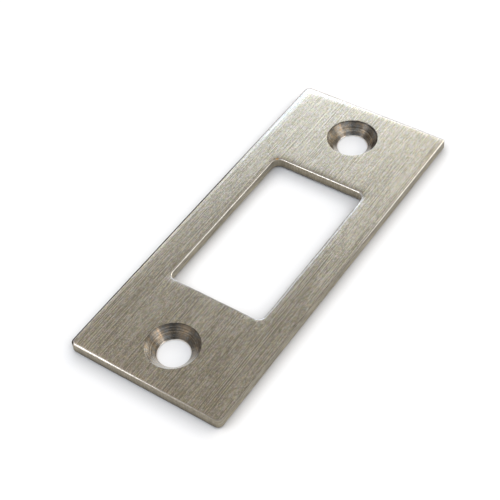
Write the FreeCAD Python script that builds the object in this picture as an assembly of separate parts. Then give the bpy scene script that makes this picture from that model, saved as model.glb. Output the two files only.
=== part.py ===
import FreeCAD, Part
import math
import os

# A flat strike plate for a door frame, stamped from steel strip in one piece.
# Origin: centre of the back face. X runs across the plate, Y along it, Z out of the face.

# Overall plate, in millimetres.
plate_length = 69.85
plate_width = 28.6
plate_thickness = 2.2
plate_corner_radius = 1.0

# Edges of the plate's outline. The face edge is only eased, the back edge is rolled over.
face_edge_round = 0.2
back_edge_round = 0.6

# Window that the bolt passes through, midway between the screws.
window_length = 32.0
window_width = 17.8
window_corner_radius = 1.3
window_face_round = 0.15
window_back_round = 0.8

# Screw holes, one near each end. The cone is sunk from the face until a thin land is left.
screw_to_end = 7.925
screw_bore_diameter = 5.4
screw_land = 0.19
countersink_angle = 82.0

# How far a cutting tool runs past the faces, and how close counts as touching.
cutter_overrun = 1.0
touching = 0.001

# Worked out from the sizes above.
screw_y = plate_length / 2 - screw_to_end
countersink_slope = math.tan(math.radians(countersink_angle / 2))
countersink_diameter = screw_bore_diameter + 2 * countersink_slope * (plate_thickness - screw_land)


def rounded_block(width, length, low, high, corner_radius):
    """Block centred on the Z axis between two heights, with its four upright edges rounded."""
    corner = FreeCAD.Vector(-width / 2, -length / 2, low)
    block = Part.makeBox(width, length, high - low, corner)
    upright = [edge for edge in block.Edges if edge.BoundBox.ZLength > (high - low) / 2]
    return block.makeFillet(corner_radius, upright)


def flat_edges(solid, height, width, length):
    """Edges that lie at one height and inside a rectangle centred on the Z axis."""
    found = []
    for edge in solid.Edges:
        box = edge.BoundBox
        level = abs(box.ZMin - height) < touching and abs(box.ZMax - height) < touching
        across = max(abs(box.XMin), abs(box.XMax)) < width / 2 + touching
        along = max(abs(box.YMin), abs(box.YMax)) < length / 2 + touching
        if level and across and along:
            found.append(edge)
    return found


def plate_blank():
    """Outer form: a rounded block with its face edge eased and its back edge rolled over."""
    blank = rounded_block(plate_width, plate_length, 0, plate_thickness, plate_corner_radius)
    face_edges = flat_edges(blank, plate_thickness, plate_width, plate_length)
    blank = blank.makeFillet(face_edge_round, face_edges)
    back_edges = flat_edges(blank, 0, plate_width, plate_length)
    return blank.makeFillet(back_edge_round, back_edges)


def pierce_window(plate):
    """Cut the bolt window through the plate and round its rims on the face and the back."""
    low = -cutter_overrun
    high = plate_thickness + cutter_overrun
    punch = rounded_block(window_width, window_length, low, high, window_corner_radius)
    plate = plate.cut(punch)
    face_rim = flat_edges(plate, plate_thickness, window_width, window_length)
    plate = plate.makeFillet(window_face_round, face_rim)
    back_rim = flat_edges(plate, 0, window_width, window_length)
    return plate.makeFillet(window_back_round, back_rim)


def screw_cutter(y):
    """Solid of revolution that leaves one countersunk hole: straight land, then a cone."""
    bore = screw_bore_diameter / 2
    top = plate_thickness + cutter_overrun
    mouth = bore + countersink_slope * (top - screw_land)
    profile = Part.makePolygon([
        FreeCAD.Vector(0, y, -cutter_overrun),
        FreeCAD.Vector(bore, y, -cutter_overrun),
        FreeCAD.Vector(bore, y, screw_land),
        FreeCAD.Vector(mouth, y, top),
        FreeCAD.Vector(0, y, top),
        FreeCAD.Vector(0, y, -cutter_overrun),
    ])
    axis = FreeCAD.Vector(0, y, 0)
    return Part.Face(profile).revolve(axis, FreeCAD.Vector(0, 0, 1), 360)


def strike_plate():
    """The whole plate: blank, bolt window, and a countersunk hole near each end."""
    plate = pierce_window(plate_blank())
    for y in (-screw_y, screw_y):
        plate = plate.cut(screw_cutter(y))
    return plate.removeSplitter()


os.makedirs("parts", exist_ok=True)
solid = strike_plate()
solid.exportStep("parts/strike_plate.step")
print("strike_plate: valid", solid.isValid(), "volume", round(solid.Volume, 1), "mm3")
print("screw spacing", 2 * screw_y, "mm, countersink", round(countersink_diameter, 2), "mm across")
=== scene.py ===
import math

import bpy
import numpy as np
from mathutils import Matrix, Vector
from mathutils.geometry import delaunay_2d_cdt


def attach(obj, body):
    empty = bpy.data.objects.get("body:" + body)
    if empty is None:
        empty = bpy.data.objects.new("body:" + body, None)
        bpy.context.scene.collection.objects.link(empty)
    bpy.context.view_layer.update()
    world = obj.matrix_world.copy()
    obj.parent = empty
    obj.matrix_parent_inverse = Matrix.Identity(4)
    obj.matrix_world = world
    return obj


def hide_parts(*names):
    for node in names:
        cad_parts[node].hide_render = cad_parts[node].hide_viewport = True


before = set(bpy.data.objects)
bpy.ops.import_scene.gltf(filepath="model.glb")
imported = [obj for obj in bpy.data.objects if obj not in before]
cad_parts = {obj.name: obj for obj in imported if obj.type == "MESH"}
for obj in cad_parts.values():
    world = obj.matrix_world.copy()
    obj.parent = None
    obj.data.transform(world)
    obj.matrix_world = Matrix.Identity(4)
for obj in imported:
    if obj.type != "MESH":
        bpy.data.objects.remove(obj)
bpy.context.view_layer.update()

# ---------------------------------------------------------------------------
# The blank. A piece of steel strip, 2.2 mm thick, sheared to length and width
# from the face side: the shear draws the face down a little all round, leaves
# a tight bend at the face edge and a rounder one at the back.
# ---------------------------------------------------------------------------
mm = 0.001  # shapes are worked out in mm, and the meshes and finishes are in metres
plate_half_width = 14.3
plate_half_length = 34.925
plate_thickness = 2.2
plate_back_round = 0.6
near_back_round = 0.4
plate_roll_width = 1.6
corner_steps, long_steps, short_steps = 12, 64, 30
side_reach = 0.01  # a point this near to a side's line belongs to that side
FACE, WALL, CONE, BACK, EDGE = range(5)  # the finishes, in the order in which the mesh takes them


def rounded_loops(half_width, half_length, corner):
    """Closed rounded rectangles, counterclockwise from the +X side.

    The corner's centre walks round an inner rectangle while the radius turns a quarter at each
    of its corners, so a point is (sx * (half_width - corner) + corner * cos a,
    sy * (half_length - corner) + corner * sin a). Sizes may be arrays (stations, points)."""
    quarter = np.linspace(0, math.pi / 2, corner_steps + 1)
    turn, side_x, side_y = [], [], []
    ends = [(1, 1), (-1, 1), (-1, -1), (1, -1)]
    for k, (sx, sy) in enumerate(ends):
        nx, ny = ends[(k + 1) % 4]
        steps = short_steps if k % 2 == 0 else long_steps
        walk = np.arange(1, steps) / steps
        turn += [quarter + k * math.pi / 2, np.full(steps - 1, (k + 1) * math.pi / 2)]
        side_x += [np.full(corner_steps + 1, sx), sx + (nx - sx) * walk]
        side_y += [np.full(corner_steps + 1, sy), sy + (ny - sy) * walk]
    turn, side_x, side_y = (np.concatenate(part)[None, :] for part in (turn, side_x, side_y))
    x = side_x * (half_width - corner) + corner * np.cos(turn)
    y = side_y * (half_length - corner) + corner * np.sin(turn)
    return x, y


def way_round(x, y):
    """Length walked along a closed loop up to each of its points, and the loop's whole length."""
    step = np.hypot(np.roll(x, -1) - x, np.roll(y, -1) - y)
    return np.concatenate([[0.0], np.cumsum(step)[:-1]]), step.sum()


def uneven(way, whole, turns, start):
    """A mild unevenness from -1 to 1: a few sine waves, each a whole number of turns long."""
    waves = [np.sin(2 * math.pi * n * way / whole + start * (k + 1.7)) / (k + 1.6)
             for k, n in enumerate(turns)]
    total = sum(waves)
    return total / np.abs(total).max()


def sheared_profile(face_round, back_round, roll_width, roll_depth, roll_power, lean):
    """Distance from the cut edge and height, from the flat face over the edge to the back.

    A flat ring, then a fall of roll_depth * t ** roll_power as t goes from 0 to 1 at the edge,
    an arc that goes on from the fall's slope, the wall, which leans in a little over its broken
    lower part, a quarter circle and a flat ring on the back. Sizes may vary along the edge."""
    tilt = np.arctan(roll_power * roll_depth / roll_width)
    edge = face_round * (1 - np.sin(tilt))
    top = plate_thickness - roll_depth
    broken_from, broken_over = 0.35, 0.3
    ones = np.ones_like(face_round)
    away, high, kind = [], [], []

    def row(distance, height, surface):
        away.append(distance * ones)
        high.append(height * ones)
        kind.append(surface)

    row(roll_width + face_round.max() + 0.1, plate_thickness, FACE)
    for t in np.linspace(0, 1, 14):
        row(edge + roll_width * (1 - t), plate_thickness - roll_depth * t ** roll_power,
            FACE if t < 0.99 else EDGE)
    for t in np.linspace(0, 1, 9)[1:]:
        a = tilt + (math.pi / 2 - tilt) * t
        row(face_round * (1 - np.sin(a)), top - face_round * (np.cos(tilt) - np.cos(a)),
            EDGE if t < 0.8 else WALL)
    foot = top - face_round * np.cos(tilt)
    for t in np.linspace(0, 1, 8)[1:-1]:
        broken = np.clip((t - broken_from) / broken_over, 0, 1)
        row(lean * broken, foot + (back_round - foot) * t, WALL)
    for t in np.linspace(0, 1, 11):
        a = math.pi / 2 * t
        row(lean + back_round * (1 - np.cos(a)), back_round * (1 - np.sin(a)),
            WALL if t < 0.9 else BACK)
    row((lean + back_round).max() + 0.3, 0.0, BACK)
    return np.array(away), np.array(high), kind


def each_corner(far_right, far_left, near_left, near_right):
    """A value for every point of a loop: held round each corner, and changing evenly between."""
    values = [far_right, far_left, near_left, near_right]
    parts = []
    for k, value in enumerate(values):
        steps = short_steps if k % 2 == 0 else long_steps
        walk = np.arange(1, steps) / steps
        parts += [np.full(corner_steps + 1, value), value + (values[(k + 1) % 4] - value) * walk]
    return np.concatenate(parts)


plate_corner = each_corner(0.45, 1.1, 0.9, 0.9)
outline_x, outline_y = rounded_loops(plate_half_width, plate_half_length, plate_corner[None, :])
outline_way, outline_whole = way_round(outline_x[0], outline_y[0])
outline_worn = uneven(outline_way, outline_whole, (9, 23, 41, 67, 101, 143), 2.3)
left_side = outline_x[0] < side_reach - plate_half_width
right_side = outline_x[0] > plate_half_width - side_reach
near_side = outline_y[0] < side_reach - plate_half_length
far_side = outline_y[0] > plate_half_length - side_reach


def eased_round(values):
    """Evens out a value along a closed edge: the mean of seven neighbours on either side."""
    wrapped = np.concatenate([values[-7:], values, values[:7]])
    return np.convolve(wrapped, np.full(15, 1 / 15), "valid")


# The bend at the face is broad on the left and nearly sharp at the near right corner.
plate_face_round = each_corner(0.40, 0.45, 0.40, 0.06)
plate_face_round[left_side] = np.interp(outline_y[0][left_side], [-34, 12, 32],
                                        [0.31, 0.34, 0.40])
plate_face_round[right_side] = np.interp(outline_y[0][right_side], [4, 14], [0.04, 0.16])
plate_face_round[near_side] = np.interp(outline_x[0][near_side], [-14, -3, 2, 14],
                                        [0.24, 0.20, 0.11, 0.05])
plate_face_round = eased_round(plate_face_round)

# The shear drew the face down most at the far left corner, and there the fall is gentlest.
plate_roll_depth = each_corner(0.025, 0.18, 0.06, 0.01)
plate_roll_depth[left_side] = np.interp(outline_y[0][left_side], [-12, -4, 20, 34],
                                        [0.085, 0.055, 0.075, 0.18])
plate_roll_depth[right_side] = np.interp(outline_y[0][right_side], [14, 34], [0.0, 0.03])
plate_roll_depth[far_side] = np.interp(outline_x[0][far_side], [-14, -3, 14], [0.18, 0.035, 0.025])
plate_roll_depth = eased_round(plate_roll_depth)
plate_roll_power = each_corner(4.0, 2.0, 4.0, 4.0)
plate_roll_power[left_side] = np.interp(outline_y[0][left_side], [5, 30], [4.0, 2.0])
plate_roll_power[far_side] = np.interp(outline_x[0][far_side], [-14, -3], [2.0, 4.0])
plate_roll_power = eased_round(plate_roll_power)

# The belt polished the bend all round, but for the near right corner and the sides next to it.
plate_polish = each_corner(1.0, 1.0, 1.0, 0.2)
plate_polish[right_side] = np.interp(outline_y[0][right_side], [3, 12], [0.0, 1.0])
plate_polish[near_side] = np.interp(outline_x[0][near_side], [-6, 8], [1.0, 0.1])
plate_polish = eased_round(plate_polish)

outline_drawn = uneven(outline_way, outline_whole, (3, 5, 8, 13), 0.9)
plate_worn = eased_round(np.where(left_side, 0.06, 0.2)) * outline_worn
plate_back = eased_round(np.where(near_side, near_back_round, plate_back_round))
blank_away, blank_high, blank_kind = sheared_profile(
    face_round=plate_face_round * (1 + plate_worn),
    back_round=plate_back * (1 + 0.05 * outline_drawn),
    roll_width=plate_roll_width,
    roll_depth=plate_roll_depth * (1 + 0.2 * outline_drawn),
    roll_power=plate_roll_power,
    lean=0.02 + 0.008 * outline_worn)
# A ring's corners tighten with its way in, and open again further in, to keep its points apart.
blank_corner = (np.maximum(plate_corner - blank_away, 0.1)
                + 0.9 * np.maximum(blank_away - plate_back_round, 0))
blank_x, blank_y = rounded_loops(
    plate_half_width - blank_away, plate_half_length - blank_away, blank_corner)
blank_edge = np.stack([blank_x, blank_y, blank_high], -1)

# ---------------------------------------------------------------------------
# The bolt window. It is punched through the blank between the screw holes, so
# its rim is drawn down on the face, its wall is sheared like the outline, and
# its back rim is well rounded.
# ---------------------------------------------------------------------------
window_half_width = 8.9
window_half_length = 16.0
window_corner = 1.3
window_back_round = 0.8
window_roll_width = 1.9

rim_x, rim_y = rounded_loops(window_half_width, window_half_length, window_corner)
rim_way, rim_whole = way_round(rim_x[0], rim_y[0])
rim_worn = uneven(rim_way, rim_whole, (7, 19, 37, 59, 83), 4.1)
rim_drawn = uneven(rim_way, rim_whole, (2, 5, 7, 11), 1.8)
rim_right = rim_x[0] > window_half_width - side_reach
rim_near = rim_y[0] < side_reach - window_half_length
rim_far_left = (rim_x[0] < 1.2 - window_half_width) & (rim_y[0] > window_half_length - 1.4)
# The right rim has the broadest bend and the near rim the sharpest. The belt hardly touched the
# near rim, and the far left corner is left dull as painted shade.
window_face_round = eased_round(np.where(rim_right, 0.42, np.where(rim_near, 0.07, 0.16)))
window_roll_depth = eased_round(np.where(rim_near, 0.015, 0.05))
window_polish = eased_round(np.where(rim_near, 0.2, np.where(rim_far_left, 0.0, 1.0)))
window_away, window_high, window_kind = sheared_profile(
    face_round=window_face_round * (1 + 0.2 * rim_worn),
    back_round=window_back_round * (1 + 0.04 * rim_drawn),
    roll_width=window_roll_width,
    roll_depth=window_roll_depth * (1 + 0.2 * rim_drawn),
    roll_power=4.0,
    lean=0.015 + 0.006 * rim_worn)
window_x, window_y = rounded_loops(
    window_half_width + window_away, window_half_length + window_away,
    window_corner + window_away)
window_edge = np.stack([window_x, window_y, window_high], -1)

# ---------------------------------------------------------------------------
# The screw holes. Each is drilled 5.4 mm through and countersunk at 82 degrees
# from the face, nearly to the back, where a narrow bright land is left. The
# cutter leaves fine turned rings on the cone, and the belt eases its rim.
# ---------------------------------------------------------------------------
screw_spacing = 54.0
screw_bore = 2.7
screw_land = 0.19
cone_lean = math.radians(41)
cone_slope = math.tan(cone_lean)
rim_ease = 0.04
land_bend = 0.06
land_middle = 0.11
land_foot = 0.04
cone_rim = screw_bore + cone_slope * (plate_thickness - screw_land)
hole_steps = 176


def countersunk_hole(centre_y, start):
    """Points (stations, round, 3) of one hole, and the surface that each station belongs to.

    A profile of radius and height is turned about the hole's axis: a flat ring on the face, a
    slight dip to the rim, the broken rim, the cone with its turned rings as sine waves 0.23 mm
    and 0.61 mm long and square to its slope, a polished bend, the straight land, and a flat
    ring on the back."""
    round_way = np.arange(hole_steps) / hole_steps * 2 * math.pi
    ripple = uneven(round_way, 2 * math.pi, (2, 3, 7, 12), start)
    ones = np.ones(hole_steps)
    radius, high, kind = [], [], []

    def row(distance, height, surface):
        radius.append(distance * ones)
        high.append(height * ones)
        kind.append(surface)

    dip_width, dip = 0.6, 0.005 * (1 + 0.3 * ripple)
    rim_break = 0.035 * (1 + 0.3 * ripple)
    row(cone_rim + dip_width + 0.2, plate_thickness, FACE)
    for t in np.linspace(0, 1, 8):
        row(cone_rim + dip_width * (1 - t) + rim_ease, plate_thickness - dip * t * t, FACE)
    rim_turn = math.pi / 2 - cone_lean
    top = plate_thickness - dip
    for t in (0.25, 0.5, 0.75, 1.0):
        a = rim_turn * t
        row(cone_rim + rim_ease - rim_break * np.sin(a), top - rim_break * (1 - np.cos(a)), CONE)
    start_radius, start_high = radius[-1], high[-1]
    end_radius, end_high = screw_bore + land_bend, screw_land + land_bend / cone_slope
    slope_length = math.hypot(cone_rim - screw_bore, plate_thickness - screw_land)
    for t in np.linspace(0, 1, 66)[1:]:
        d = t * slope_length
        ring = (np.sin(2 * math.pi * d / 0.23 + start) * 0.0016
                + np.sin(2 * math.pi * d / 0.61 + 2 * start) * 0.0011)
        ring = ring * min(1.0, 6 * t, 6 * (1 - t))
        row(start_radius + (end_radius - start_radius) * t + ring * math.cos(cone_lean),
            start_high + (end_high - start_high) * t - ring * math.sin(cone_lean), CONE)
    for t in (0.2, 0.4, 0.6, 0.8, 1.0):
        row(screw_bore + land_bend * (1 - t) ** 1.5, end_high - 0.1 * t, EDGE)
    row(screw_bore, land_middle, EDGE)
    for t in (0.0, 0.3, 0.6, 1.0):
        a = math.pi / 2 * t
        row(screw_bore + land_foot * (1 - math.cos(a)), land_foot * (1 - math.sin(a)), EDGE)
    row(screw_bore + 0.3, 0.0, BACK)
    radius, high = np.array(radius), np.array(high)
    points = [radius * np.cos(round_way), centre_y + radius * np.sin(round_way), high]
    return np.stack(points, -1), kind


near_hole, hole_kind = countersunk_hole(-screw_spacing / 2, 0.7)
far_hole, _ = countersunk_hole(screw_spacing / 2, 3.9)

# ---------------------------------------------------------------------------
# The plate in one piece. The flat face and the flat back span between the
# outline, the window and the two holes, and close the steel all round.
# ---------------------------------------------------------------------------


def band_faces(first, rows, columns, opening):
    """Four-sided faces between neighbouring stations of a band, pointing out of the steel."""
    i, j = np.meshgrid(np.arange(rows - 1), np.arange(columns), indexing="ij")
    k = (j + 1) % columns
    faces = np.stack([i * columns + j, (i + 1) * columns + j, (i + 1) * columns + k,
                      i * columns + k], -1).reshape(-1, 4)
    if opening:
        faces = faces[:, ::-1]
    return faces + first


def band_grain(points, kinds, opening):
    """Grain map of a band: across and along the plate on the flats, along the edge and down it
    on the walls, and down the slope and round it on the cones."""
    rows, columns = points.shape[:2]
    i, j = np.meshgrid(np.arange(rows - 1), np.arange(columns), indexing="ij")
    k = (j + 1) % columns
    loop = points[rows // 2]
    way, whole = way_round(loop[:, 0], loop[:, 1])
    way = np.concatenate([way, [whole]])
    step = np.linalg.norm(np.diff(points[:, 0], axis=0), axis=1)
    down = np.concatenate([[0.0], np.cumsum(step)])
    flat = points[:, :, :2]
    level = np.stack([flat[i, j], flat[i + 1, j], flat[i + 1, k], flat[i, k]], 2)
    edge = np.stack([
        np.stack([way[j], down[i]], -1), np.stack([way[j], down[i + 1]], -1),
        np.stack([way[j + 1], down[i + 1]], -1), np.stack([way[j + 1], down[i]], -1)], 2)
    surface = np.array(kinds[1:])[:, None, None, None]
    grain = np.where(surface == WALL, edge, np.where(surface == CONE, edge[..., ::-1], level))
    grain = grain.reshape(-1, 4, 2)
    return grain[:, ::-1] if opening else grain


def flat_web(loops, spacing):
    """Triangles that span between closed loops: the outline, the window and then the holes.

    Extra points on a square grid keep the triangles even. A triangle whose middle is to the left
    of every side of an opening lies in it, and is dropped. Returns the extra points, and
    triangles that number the loops' points first and the extra points after them."""
    rim = np.concatenate(loops)
    links, first = [], 0
    for loop in loops:
        n = len(loop)
        number = np.arange(n)
        links += np.stack([first + number, first + (number + 1) % n], -1).tolist()
        first += n
    grid_x, grid_y = np.meshgrid(np.arange(-13, 13.1, spacing), np.arange(-34, 34.1, spacing))
    grid = np.stack([grid_x.ravel(), grid_y.ravel()], -1)
    inside = np.ones(len(grid), bool)
    clear = 0.6
    for k, loop in enumerate(loops):
        half = np.abs(loop).max(0)
        if k == 0:
            inside &= (np.abs(grid) < half - clear).all(1)
        elif k == 1:
            inside &= (np.abs(grid) > half + clear).any(1)
        else:
            middle = loop.mean(0)
            reach = np.hypot(*(loop[0] - middle))
            inside &= np.hypot(*(grid - middle).T) > reach + clear
    extra = grid[inside]
    points = np.concatenate([rim, extra])
    inside_only, nearest = 1, 1e-6
    _, _, faces, sources, _, _ = delaunay_2d_cdt(
        [Vector(point) for point in points.tolist()], links, [], inside_only, nearest)
    number = np.array([source[0] for source in sources])
    triangles = number[np.array(faces)]
    middle = points[triangles].mean(1)
    kept = np.ones(len(triangles), bool)
    for loop in loops[1:]:
        following = np.roll(loop, -1, 0)
        side = ((following - loop)[None, :, 0] * (middle[:, None, 1] - loop[None, :, 1])
                - (following - loop)[None, :, 1] * (middle[:, None, 0] - loop[None, :, 0]))
        kept &= (side < 0).any(1)
    return extra, triangles[kept]


def painted_dark_edges(points, opening):
    """For each point of a band, the share of a painted dark line that stands in for the bend's
    dark reflection, by how far the point has turned away.

    The way down the band crossed with the way along it is square to the surface, and a part of
    that line of length 1 is the sine of its lean. The share rises from 0 to 1 as the line leans
    5 to 8 degrees towards -X, or 18 to 30 degrees towards +Y on the right half. On the left it
    fades to a quarter at the far end, and round an opening it is under half."""
    down = np.gradient(points, axis=0)
    along = np.roll(points, -1, 1) - np.roll(points, 1, 1)
    square = np.cross(down, along) * (-1 if opening else 1)
    lean = square / np.linalg.norm(square, axis=-1)[..., None]
    x, y = points[..., 0], points[..., 1]
    begins = 0.09 if opening else np.interp(y, [-12, -4], [0.12, 0.09])
    left = (np.clip((-lean[..., 0] - begins) / 0.05, 0, 1) * (0.45 if opening else 1.0)
            * np.interp(y, [8, 20, 30], [1.0, 0.4, 0.25]))
    far = np.clip((lean[..., 1] - 0.31) / 0.19, 0, 1) * np.interp(x, [-12, 4], [0.0, 1.0])
    return np.maximum(left, far).ravel()


def long_edges(points):
    """For each point of a band, how nearly its edge runs along the plate, from 0 to 1."""
    loop = points[points.shape[0] // 2, :, :2]
    step = np.roll(loop, -1, 0) - np.roll(loop, 1, 0)
    along = np.abs(step[:, 1]) / np.hypot(step[:, 0], step[:, 1])
    return np.tile(along, points.shape[0])


hole_polish = np.ones(hole_steps)
hole_painted_dark = np.zeros(near_hole.shape[:2]).ravel()
bands = [(blank_edge, blank_kind, plate_polish, painted_dark_edges(blank_edge, False), False),
         (window_edge, window_kind, window_polish, painted_dark_edges(window_edge, True), True),
         (near_hole, hole_kind, hole_polish, hole_painted_dark, True),
         (far_hole, hole_kind, hole_polish, hole_painted_dark, True)]
steel_points, steel_quads, quad_grain, quad_kind, face_loops, back_loops = [], [], [], [], [], []
slit_edge, painted_dark_edge, polished_edge = [], [], []
face_numbers, back_numbers, count = [], [], 0
for points, kinds, polish, painted_dark, opening in bands:
    rows, columns = points.shape[:2]
    steel_points.append(points.reshape(-1, 3))
    slit_edge.append(long_edges(points))
    painted_dark_edge.append(painted_dark)
    polished_edge.append(np.tile(polish, rows))
    steel_quads.append(band_faces(count, rows, columns, opening))
    quad_grain.append(band_grain(points, kinds, opening))
    quad_kind.append(np.repeat(kinds[1:], columns))
    face_loops.append(points[0, :, :2])
    back_loops.append(points[-1, :, :2])
    face_numbers.append(count + np.arange(columns))
    back_numbers.append(count + (rows - 1) * columns + np.arange(columns))
    count += rows * columns

steel_triangles, triangle_kind = [], []
for loops, numbers, height, surface in ((face_loops, face_numbers, plate_thickness, FACE),
                                        (back_loops, back_numbers, 0.0, BACK)):
    extra, triangles = flat_web(loops, 2.0)
    numbers = np.concatenate(numbers + [count + np.arange(len(extra))])
    steel_points.append(np.column_stack([extra, np.full(len(extra), height)]))
    slit_edge.append(np.zeros(len(extra)))
    painted_dark_edge.append(np.zeros(len(extra)))
    polished_edge.append(np.zeros(len(extra)))
    triangles = numbers[triangles]
    steel_triangles.append(triangles if surface == FACE else triangles[:, ::-1])
    triangle_kind.append(np.full(len(triangles), surface))
    count += len(extra)

steel_points = np.concatenate(steel_points)
steel_quads, quad_grain = np.concatenate(steel_quads), np.concatenate(quad_grain)
steel_triangles = np.concatenate(steel_triangles)
plate_mesh = bpy.data.meshes.new("strike_plate_steel")
plate_mesh.from_pydata((steel_points * mm).tolist(), [],
                       steel_quads.tolist() + steel_triangles.tolist())
plate_mesh.polygons.foreach_set(
    "material_index", np.concatenate(quad_kind + triangle_kind).astype(np.int32))
plate_mesh.polygons.foreach_set("use_smooth", np.ones(len(plate_mesh.polygons), bool))
grain_map = plate_mesh.uv_layers.new(name="grain")
grain = np.concatenate([quad_grain.reshape(-1, 2), steel_points[steel_triangles.ravel(), :2]])
grain_scale = 0.01  # only the directions in the map count
grain_map.data.foreach_set("uv", grain.astype(np.float32).ravel() * grain_scale)
for name, values in (("slit_edge", slit_edge), ("painted_dark_edge", painted_dark_edge),
                     ("polished_edge", polished_edge)):
    plate_mesh.attributes.new(name, "FLOAT", "POINT").data.foreach_set(
        "value", np.concatenate(values).astype(np.float32))
plate_mesh.validate()
plate_mesh.update()

strike_plate = bpy.data.objects.new("strike_plate_steel", plate_mesh)
bpy.context.scene.collection.objects.link(strike_plate)
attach(strike_plate, "root")
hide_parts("strike_plate")

# ---------------------------------------------------------------------------
# The brushed face. A belt runs along the plate and leaves fine straight lines
# a few millimetres long over a faint warm cloudiness. The drawn-down rims of the
# left side and of the far left carry a painted cool sheen, standing in for the
# window's reflection there.
# ---------------------------------------------------------------------------


def new_finish(name, anisotropy):
    """A bare metal finish: its node tree, its shader, and the point on the piece in metres."""
    finish = bpy.data.materials.new(name)
    finish.use_nodes = True
    tree = finish.node_tree
    shader = tree.nodes["Principled BSDF"]
    shader.inputs["Metallic"].default_value = 1.0
    shader.inputs["Anisotropic"].default_value = anisotropy
    along = tree.nodes.new("ShaderNodeTangent")
    along.direction_type = "UV_MAP"
    along.uv_map = "grain"
    tree.links.new(along.outputs[0], shader.inputs["Tangent"])
    place = tree.nodes.new("ShaderNodeTexCoord").outputs["Object"]
    return finish, tree, shader, place


def feed(tree, socket, source):
    """Joins a node's output to a socket, or writes a plain value on it."""
    if isinstance(source, bpy.types.NodeSocket):
        tree.links.new(source, socket)
    else:
        socket.default_value = source


def streaks(tree, place, size, detail=2.0, shift=(0, 0, 0)):
    """Soft random marks whose size across, along and through the plate is given in mm."""
    stretch = tree.nodes.new("ShaderNodeMapping")
    stretch.inputs["Scale"].default_value = [1000.0 / s for s in size]
    stretch.inputs["Location"].default_value = shift
    feed(tree, stretch.inputs["Vector"], place)
    marks = tree.nodes.new("ShaderNodeTexNoise")
    marks.inputs["Scale"].default_value = 1.0
    marks.inputs["Detail"].default_value = detail
    marks.inputs["Roughness"].default_value = 0.55
    feed(tree, marks.inputs["Vector"], stretch.outputs[0])
    return marks.outputs[0]


def sums(tree, operation, first, second, third=None):
    """One arithmetic step between sockets or values."""
    step = tree.nodes.new("ShaderNodeMath")
    step.operation = operation
    for k, value in enumerate((first, second, third)):
        if value is not None:
            feed(tree, step.inputs[k], value)
    return step.outputs[0]


def spread(tree, value, low, high, new_low, new_high, smooth=False):
    """Carries a value from one range to another and holds it there."""
    change = tree.nodes.new("ShaderNodeMapRange")
    change.interpolation_type = "SMOOTHSTEP" if smooth else "LINEAR"
    change.clamp = True
    for k, part in enumerate((value, low, high, new_low, new_high)):
        feed(tree, change.inputs[k], part)
    return change.outputs[0]


def blend_colours(tree, share, first, second, kind="MIX"):
    """Mixes two colours, which the node takes on its sockets 6 and 7 and gives on its third."""
    mix = tree.nodes.new("ShaderNodeMix")
    mix.data_type = "RGBA"
    mix.blend_type = kind
    feed(tree, mix.inputs[0], share)
    feed(tree, mix.inputs[6], first)
    feed(tree, mix.inputs[7], second)
    return mix.outputs[2]


def relief(tree, shader, height, depth_mm):
    """Raises and lowers the surface by a height from 0 to 1, whose whole depth is given in mm."""
    bump = tree.nodes.new("ShaderNodeBump")
    bump.inputs["Strength"].default_value = 1.0
    bump.inputs["Distance"].default_value = depth_mm * mm
    feed(tree, bump.inputs["Height"], height)
    tree.links.new(bump.outputs[0], shader.inputs["Normal"])


def strokes(tree, place, width, length, shift):
    """Straight narrow marks that lie along the plate, each of one tone from 0 to 1, in mm."""
    stretch = tree.nodes.new("ShaderNodeMapping")
    stretch.inputs["Scale"].default_value = (1000.0 / width, 1000.0 / length, 0.0)
    stretch.inputs["Location"].default_value = (shift, shift, 0)
    tree.links.new(place, stretch.inputs["Vector"])
    marks = tree.nodes.new("ShaderNodeTexVoronoi")
    marks.voronoi_dimensions = "2D"
    marks.inputs["Scale"].default_value = 1.0
    tree.links.new(stretch.outputs[0], marks.inputs["Vector"])
    apart = tree.nodes.new("ShaderNodeSeparateColor")
    tree.links.new(marks.outputs["Color"], apart.inputs[0])
    return apart.outputs[0]


def tinted(tree, steel, marks, first, second):
    """A colour times one of two tints, as soft marks go from low to high."""
    tint = blend_colours(tree, spread(tree, marks, 0.3, 0.7, 0.0, 1.0), first, second)
    return blend_colours(tree, 1.0, steel, tint, "MULTIPLY")


def parts_of(tree, place):
    """The parts of a place or a direction: across the plate, along it and upwards."""
    apart = tree.nodes.new("ShaderNodeSeparateXYZ")
    tree.links.new(place, apart.inputs[0])
    return apart.outputs[0], apart.outputs[1], apart.outputs[2]


brushed, tree, shader, place = new_finish("brushed_steel_face", 0.65)
across, along, _ = parts_of(tree, place)
# Long even lines: the difference between a pattern and the same pattern a little aside.
line_size = (0.15, 120.0, 9.0)
tone = 0.5
for shift in (0.0, 4.7):
    line = sums(tree, "SUBTRACT", streaks(tree, place, line_size, 0.0, (shift, shift, 0)),
                streaks(tree, place, line_size, 0.0, (shift + 1.3, shift, 0)))
    seen = spread(tree, strokes(tree, place, 0.5, 5.0, shift), 0.3, 1.0, 0.1, 1.5)
    tone = sums(tree, "MULTIPLY_ADD", line, seen, tone)
long_lines = tone
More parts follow.
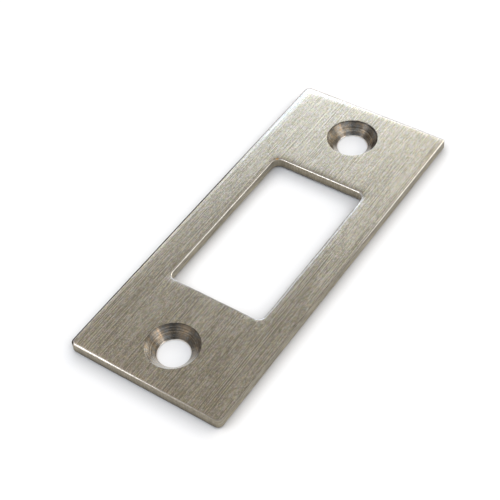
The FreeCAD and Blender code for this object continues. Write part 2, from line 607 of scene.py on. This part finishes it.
# Short strokes over them, and both are painted fainter towards the far end, standing in for
# the highlight washing out the grain there.
stroke_width = 0.14
for length, shift, share in ((2.5, 7.3, 0.38), (0.8, 3.1, 0.38), (0.3, 5.9, 0.46),
                             (0.18, 1.7, 0.55)):
    stroke = sums(tree, "SUBTRACT", strokes(tree, place, stroke_width, length, shift), 0.5)
    tone = sums(tree, "MULTIPLY_ADD", stroke, share, tone)
depth = spread(tree, along, 0.0, 28 * mm, 1.0, 0.76, smooth=True)
tone = sums(tree, "MULTIPLY_ADD", sums(tree, "SUBTRACT", tone, 0.5), depth, 0.5)
cloud = streaks(tree, place, (3.0, 11.0, 9.0), 2.0, (1.3, 4.9, 0))
tone = sums(tree, "MULTIPLY_ADD", sums(tree, "SUBTRACT", cloud, 0.5), 0.08, tone)
steel = blend_colours(tree, tone, (0.430, 0.391, 0.303, 1), (0.815, 0.750, 0.632, 1))
steel = tinted(tree, steel, streaks(tree, place, (0.4, 0.9, 2.0), 0.0, (2.2, 8.8, 0)),
               (1, 1, 0.91, 1), (1, 1, 1.09, 1))
steel = tinted(tree, steel, streaks(tree, place, (0.35, 0.8, 2.0), 0.0, (6.1, 3.3, 0)),
               (1.032, 0.982, 1, 1), (0.968, 1.018, 1, 1))
# A painted cool sheen on the drawn-down rims of the left side and the far side, up to their
# corner, standing in for the window's reflection.
painted_sheen_left = sums(
    tree, "MULTIPLY", spread(tree, across, -12.3 * mm, -13.9 * mm, 0.0, 1.0, smooth=True),
    spread(tree, along, 8 * mm, 30 * mm, 0.0, 1.0, smooth=True))
painted_sheen_far = sums(
    tree, "MULTIPLY", spread(tree, across, -2 * mm, -12 * mm, 0.0, 1.0, smooth=True),
    spread(tree, along, 33.0 * mm, 34.5 * mm, 0.0, 1.0, smooth=True))
steel = blend_colours(tree, sums(tree, "MAXIMUM", painted_sheen_left, painted_sheen_far), steel,
                      (0.99, 1.08, 1.25, 1), "MULTIPLY")
tree.links.new(steel, shader.inputs["Base Color"])
tree.links.new(spread(tree, cloud, 0.35, 0.65, 0.23, 0.28), shader.inputs["Roughness"])
relief(tree, shader, long_lines, 0.0013)
plate_mesh.materials.append(brushed)

# ---------------------------------------------------------------------------
# The sheared walls. Dull steel, smoother and lighter where the punch rubbed
# it, with fine drag marks square to the face, and broken below, with painted
# shade darkening the foot.
# The long walls were slit with the strip, so their fine lines run along them.
# ---------------------------------------------------------------------------


def joined(tree, *parts):
    """A place made of its parts."""
    whole = tree.nodes.new("ShaderNodeCombineXYZ")
    for k, part in enumerate(parts):
        tree.links.new(part, whole.inputs[k])
    return whole.outputs[0]


def share_held(tree, name):
    """A share from 0 to 1 that the piece holds at each of its points."""
    held = tree.nodes.new("ShaderNodeAttribute")
    held.attribute_name = name
    return held.outputs["Fac"]


def shaded(tree, steel, marks):
    """A colour times marks, which darken it below 1 and lighten it above."""
    grey = tree.nodes.new("ShaderNodeCombineColor")
    for k in range(3):
        tree.links.new(marks, grey.inputs[k])
    return blend_colours(tree, 1.0, steel, grey.outputs[0], "MULTIPLY")


sheared, tree, shader, place = new_finish("sheared_steel_wall", 0.3)
_, along, height = parts_of(tree, place)
slit = share_held(tree, "slit_edge")
rubbed = spread(tree, height, 0.9 * mm, 1.4 * mm, 0.0, 1.0, smooth=True)
cropped = blend_colours(tree, rubbed, (0.238, 0.208, 0.155, 1), (0.305, 0.272, 0.208, 1))
slit_side = blend_colours(tree, rubbed, (0.350, 0.316, 0.248, 1), (0.285, 0.260, 0.208, 1))
steel = blend_colours(tree, slit, cropped, slit_side)
# Painted shade at the wall's foot: the broken lower part darkens towards the back, most on the
# cropped walls.
under = spread(tree, height, 0.22 * mm, 0.72 * mm, 1.0, 0.0, smooth=True)
broken = blend_colours(tree, slit, (0.035, 0.029, 0.02, 1), (0.14, 0.122, 0.093, 1))
steel = blend_colours(tree, under, steel, broken)
upright = joined(tree, height, along)
steel = blend_colours(tree, slit, steel, tinted(
    tree, steel, strokes(tree, upright, 0.3, 1.7, 8.1), (1.02, 1, 0.97, 1), (0.98, 1, 1.03, 1)))
drawn = sums(tree, "ADD", strokes(tree, upright, 0.17, 4.1, 2.6),
             strokes(tree, upright, 0.14, 1.3, 5.3))
drawn = sums(tree, "MULTIPLY_ADD", drawn, 0.36, 0.54)
drag = streaks(tree, place, (0.22, 0.22, 1.4), 2.0)
torn = streaks(tree, place, (0.4, 0.4, 0.25), 3.0, (4.0, 1.0, 2.0))
dragged = sums(tree, "MULTIPLY_ADD", torn, 0.8, drag)
marks = sums(tree, "MULTIPLY_ADD", slit, sums(tree, "SUBTRACT", drawn, dragged), dragged)
steel = shaded(tree, steel, spread(tree, marks, 0.6, 1.2, 0.6, 1.4))
tree.links.new(steel, shader.inputs["Base Color"])
rough = sums(tree, "SUBTRACT", torn, sums(tree, "MULTIPLY", rubbed, 0.3))
tree.links.new(spread(tree, rough, 0.0, 0.7, 0.38, 0.6), shader.inputs["Roughness"])
relief(tree, shader, dragged, 0.004)
plate_mesh.materials.append(sheared)

# ---------------------------------------------------------------------------
# The turned cones. Cut steel with rings round the axis, darker than the face,
# with a faint brown and blue-grey mottling. The near part of each cone carries
# a painted pale sheen, standing in for its slanting reflection, and elsewhere
# its sharp rim is dark.
# ---------------------------------------------------------------------------
turned, tree, shader, place = new_finish("turned_steel_cone", 0.8)
across, along, _ = parts_of(tree, place)
from_centre = sums(tree, "SUBTRACT", sums(tree, "ABSOLUTE", along, 0.0), screw_spacing / 2 * mm)
radius = sums(tree, "SQRT", sums(tree, "ADD", sums(tree, "MULTIPLY", across, across),
                                 sums(tree, "MULTIPLY", from_centre, from_centre)), 0.0)
ring_place = joined(tree, radius, sums(tree, "MULTIPLY", across, 0.04),
                    sums(tree, "MULTIPLY", along, 0.04))
rings = streaks(tree, ring_place, (0.13, 0.5, 0.5), 2.0)
wide_rings = streaks(tree, ring_place, (0.55, 1.0, 1.0), 1.0, (6.0, 2.0, 5.0))
steel = blend_colours(tree, spread(tree, wide_rings, 0.35, 0.65, 0.0, 1.0),
                      (0.175, 0.158, 0.138, 1), (0.250, 0.217, 0.174, 1))
nearer = sums(tree, "MULTIPLY", from_centre, sums(tree, "SIGN", along, 0.0))
nearer = sums(tree, "MULTIPLY_ADD", across, -0.27, nearer)
# A painted pale sheen on the near part of each cone, standing in for its reflection there.
painted_near_sheen = spread(tree, nearer, -0.2 * mm, -2.9 * mm, 0.0, 1.0, smooth=True)
steel = blend_colours(tree, painted_near_sheen, steel, (0.46, 0.43, 0.385, 1))
steel = tinted(tree, steel, streaks(tree, place, (0.3, 0.3, 0.5), 1.0, (2.0, 5.0, 1.0)),
               (0.82, 0.82, 0.82, 1), (1.18, 1.18, 1.18, 1))
steel = tinted(tree, steel, streaks(tree, place, (0.5, 0.5, 0.8), 0.0, (7.0, 1.0, 3.0)),
               (1.08, 1, 0.90, 1), (0.92, 1, 1.10, 1))
dark_rim = spread(tree, radius, 4.26 * mm, 4.44 * mm, 1.0, 0.4)
marks = sums(tree, "MULTIPLY", spread(tree, rings, 0.3, 0.7, 0.58, 1.42),
             sums(tree, "MAXIMUM", painted_near_sheen, dark_rim))
tree.links.new(shaded(tree, steel, marks), shader.inputs["Base Color"])
tree.links.new(spread(tree, rings, 0.3, 0.7, 0.18, 0.28), shader.inputs["Roughness"])
relief(tree, shader, rings, 0.005)
plate_mesh.materials.append(turned)

# ---------------------------------------------------------------------------
# The back. It lies in the door frame unseen, so it keeps the dull grey skin of
# the rolled strip, with faint rolling lines along the plate.
# ---------------------------------------------------------------------------
rolled, tree, shader, place = new_finish("rolled_steel_back", 0.25)
skin = streaks(tree, place, (0.5, 4.0, 1.0), 3.0)
mottle = streaks(tree, place, (5.0, 6.0, 5.0), 3.0, (7.0, 3.0, 0))
marks = sums(tree, "MULTIPLY_ADD", skin, 0.6, mottle)
steel = blend_colours(tree, spread(tree, marks, 0.6, 1.0, 0, 1),
                      (0.36, 0.345, 0.32, 1), (0.45, 0.43, 0.395, 1))
tree.links.new(steel, shader.inputs["Base Color"])
tree.links.new(spread(tree, mottle, 0.3, 0.7, 0.42, 0.56), shader.inputs["Roughness"])
relief(tree, shader, skin, 0.002)
plate_mesh.materials.append(rolled)

# ---------------------------------------------------------------------------
# The eased edges. Handling and the belt have polished the bend at the face to
# a clean bright line. The left sides, and the far side's right part, carry a
# painted dark line of dull non-metal that stands in for the bend's dark
# reflection, and an orange spot sits at the window's far left corner.
# ---------------------------------------------------------------------------
eased, tree, shader, place = new_finish("polished_steel_edge", 0.0)
shader.inputs["Specular Tint"].default_value = (0.35, 0.14, 0.05, 1)
shader.inputs["Specular IOR Level"].default_value = 0.1
polished = share_held(tree, "polished_edge")
painted_dark = share_held(tree, "painted_dark_edge")
nicks = streaks(tree, place, (0.5, 0.5, 0.5), 3.0, (9.0, 3.0, 1.0))
scuffs = spread(tree, nicks, 0.35, 0.65, 0.0, 1.0)
dull = blend_colours(tree, scuffs, (0.22, 0.195, 0.165, 1), (0.40, 0.36, 0.31, 1))
bright = blend_colours(tree, scuffs, (0.66, 0.635, 0.59, 1), (0.86, 0.85, 0.83, 1))
steel = blend_colours(tree, polished, dull, bright)
# Painted dark line on the bend where it turns away, standing in for its dark reflection.
steel = blend_colours(tree, painted_dark, steel, (0.028, 0.020, 0.016, 1))
# An orange spot at the window's far left corner.
orange_spot_away = tree.nodes.new("ShaderNodeVectorMath")
orange_spot_away.operation = "DISTANCE"
tree.links.new(place, orange_spot_away.inputs[0])
orange_spot_away.inputs[1].default_value = (-8.75 * mm, 15.95 * mm, 2.1 * mm)
orange_spot = spread(tree, orange_spot_away.outputs["Value"], 0.25 * mm, 0.55 * mm, 0.9, 0.0, smooth=True)
steel = blend_colours(tree, orange_spot, steel, (0.62, 0.36, 0.12, 1))
tree.links.new(steel, shader.inputs["Base Color"])
tree.links.new(sums(tree, "SUBTRACT", 1.0, painted_dark), shader.inputs["Metallic"])
rough = spread(tree, nicks, 0.3, 0.7, 0.37, 0.31)
rough = sums(tree, "MULTIPLY_ADD", polished, -0.14, rough)
tree.links.new(sums(tree, "MULTIPLY_ADD", painted_dark, 0.3, rough), shader.inputs["Roughness"])
relief(tree, shader, nicks, 0.003)
plate_mesh.materials.append(eased)

# ---------------------------------------------------------------------------
# The floor: a plain pale table top under the plate, wide enough for any view.
# The camera sees a painted shadow on it close to the steel: an ambient occlusion
# node darkens its colour where light hardly reaches. The light that it throws
# back on the plate is plain and a little warmer.
# ---------------------------------------------------------------------------


def scaled(tree, share, colour):
    """A colour times a share."""
    times = tree.nodes.new("ShaderNodeVectorMath")
    times.operation = "SCALE"
    times.inputs[0].default_value = colour
    feed(tree, times.inputs["Scale"], share)
    return times.outputs[0]


floor_mesh = bpy.data.meshes.new("floor")
table_half = 4.0
floor_mesh.from_pydata(
    [(x * table_half, y * table_half, 0) for x, y in ((-1, -1), (1, -1), (1, 1), (-1, 1))],
    [], [(0, 1, 2, 3)])
floor = bpy.data.objects.new("floor", floor_mesh)
floor.location.z = -0.02 * mm  # just under the back, so that the two never share a plane
bpy.context.scene.collection.objects.link(floor)
table_top = bpy.data.materials.new("pale_table_top")
table_top.use_nodes = True
tree = table_top.node_tree
shader = tree.nodes["Principled BSDF"]
# Painted shadow: the occlusion node darkens the floor as the camera sees it, close to the steel.
corners = tree.nodes.new("ShaderNodeAmbientOcclusion")
corners.samples = 16
corners.inputs["Distance"].default_value = 6.0 * mm
painted_shadow_share = spread(tree, corners.outputs["AO"], 0.5, 0.88, 0.74, 1.0)
seen_top_with_painted_shadow = scaled(tree, painted_shadow_share, (0.938, 0.933, 0.930))
path = tree.nodes.new("ShaderNodeLightPath")
tree.links.new(
    blend_colours(tree, path.outputs["Is Camera Ray"], (0.905, 0.895, 0.875, 1), seen_top_with_painted_shadow),
    shader.inputs["Base Color"])
shader.inputs["Roughness"].default_value = 0.9
shader.inputs["Specular IOR Level"].default_value = 0.0
floor_mesh.materials.append(table_top)

# ---------------------------------------------------------------------------
# The light: a pale room with a large soft panel overhead, lamps and lit walls
# round it, a cool window beyond the plate's far end, and a small warm lamp.
# ---------------------------------------------------------------------------
room = bpy.data.worlds.new("room")
bpy.context.scene.world = room
room.use_nodes = True
tree = room.node_tree
ambient = tree.nodes["Background"]
look = tree.nodes.new("ShaderNodeTexCoord").outputs["Generated"]


def towards(tree, look, azimuth, elevation):
    """How far a direction agrees with one given from +Y towards +X and above the horizon."""
    a, e = math.radians(azimuth), math.radians(elevation)
    dot = tree.nodes.new("ShaderNodeVectorMath")
    dot.operation = "DOT_PRODUCT"
    tree.links.new(look, dot.inputs[0])
    dot.inputs[1].default_value = (math.sin(a) * math.cos(e), math.cos(a) * math.cos(e),
                                   math.sin(e))
    return dot.outputs["Value"]


def glow(tree, agree, width, colour, strength):
    """A light that fades as a bell curve, exp((agree - 1) / width squared).

    The width is given in degrees, and goes into the curve in radians."""
    sharp = 1 / math.radians(width) ** 2
    share = sums(tree, "EXPONENT", sums(tree, "MULTIPLY_ADD", agree, sharp, -sharp), 0.0)
    return scaled(tree, share, [c * strength for c in colour])


def added(tree, first, second):
    """Two lights together."""
    both = tree.nodes.new("ShaderNodeVectorMath")
    both.operation = "ADD"
    tree.links.new(first, both.inputs[0])
    tree.links.new(second, both.inputs[1])
    return both.outputs[0]


_, _, above = parts_of(tree, look)
light = scaled(tree, spread(tree, above, 0.09, 0.28, 1.0, 0.055, smooth=True), (1.0, 1.0, 1.0))
for azimuth, elevation, width, colour, strength in (
        (-170, 70, 10, (0.87, 1.00, 1.18), 3.0),  # the panel overhead
        (-107, 57, 18, (1.09, 1.00, 0.89), 1.0),  # a lamp on the left
        (114, 58, 12, (0.96, 1.00, 1.07), 3.2),  # a lamp on the right
        (-36, 29, 6.8, (0.88, 1.00, 1.16), 4.2),  # the window
        (12, 22, 18, (1.09, 1.00, 0.85), 2.6),  # the far wall
        (80, 26, 13, (1.03, 1.00, 0.97), 2.6),  # the right wall
        (-163, 4, 12, (1.19, 1.00, 0.80), 1.5),  # the near wall
        (175, 20, 11, (1.00, 0.98, 0.95), 0.6),  # a table lamp at the near end
        (-56, 29, 4, (0.98, 1.00, 1.04), 3.2),  # the window's left pane
        (-138, 48, 7, (0.97, 1.00, 1.06), 5.0),  # a bright shade at the near left
        (40, 42, 6, (1.00, 1.00, 0.98), 3.0),  # a lamp at the far right
        (92.5, 25.8, 2, (1.00, 0.72, 0.50), 9.0)):  # the small warm lamp
    light = added(tree, light, glow(
        tree, towards(tree, look, azimuth, elevation), width, colour, strength))
tree.links.new(light, ambient.inputs["Color"])
ambient.inputs["Strength"].default_value = 1.0

# ---------------------------------------------------------------------------
# The camera. It looks from above the plate's near right corner, about 20 cm
# away, through a long lens, and leans a little to one side.
# ---------------------------------------------------------------------------
eye = Vector((0.083355, -0.113871, 0.157019))
aim = Vector((-0.000732, -0.004443, 0.0022))
camera_lean = math.radians(-4.889)
ahead = (aim - eye).normalized()
level = ahead.cross(Vector((0, 0, 1))).normalized()
upward = level.cross(ahead)
right = level * math.cos(camera_lean) + upward * math.sin(camera_lean)
upward = right.cross(ahead)
lens = bpy.data.cameras.new("camera")
lens.sensor_width = 36.0
lens.lens = 90.93
lens.clip_start, lens.clip_end = 0.01, 20.0
camera = bpy.data.objects.new("camera", lens)
turned_to = Matrix((right, upward, -ahead)).transposed().to_4x4()
camera.matrix_world = Matrix.Translation(eye) @ turned_to
bpy.context.scene.collection.objects.link(camera)
bpy.context.scene.camera = camera
bpy.context.scene.view_settings.view_transform = "Standard"
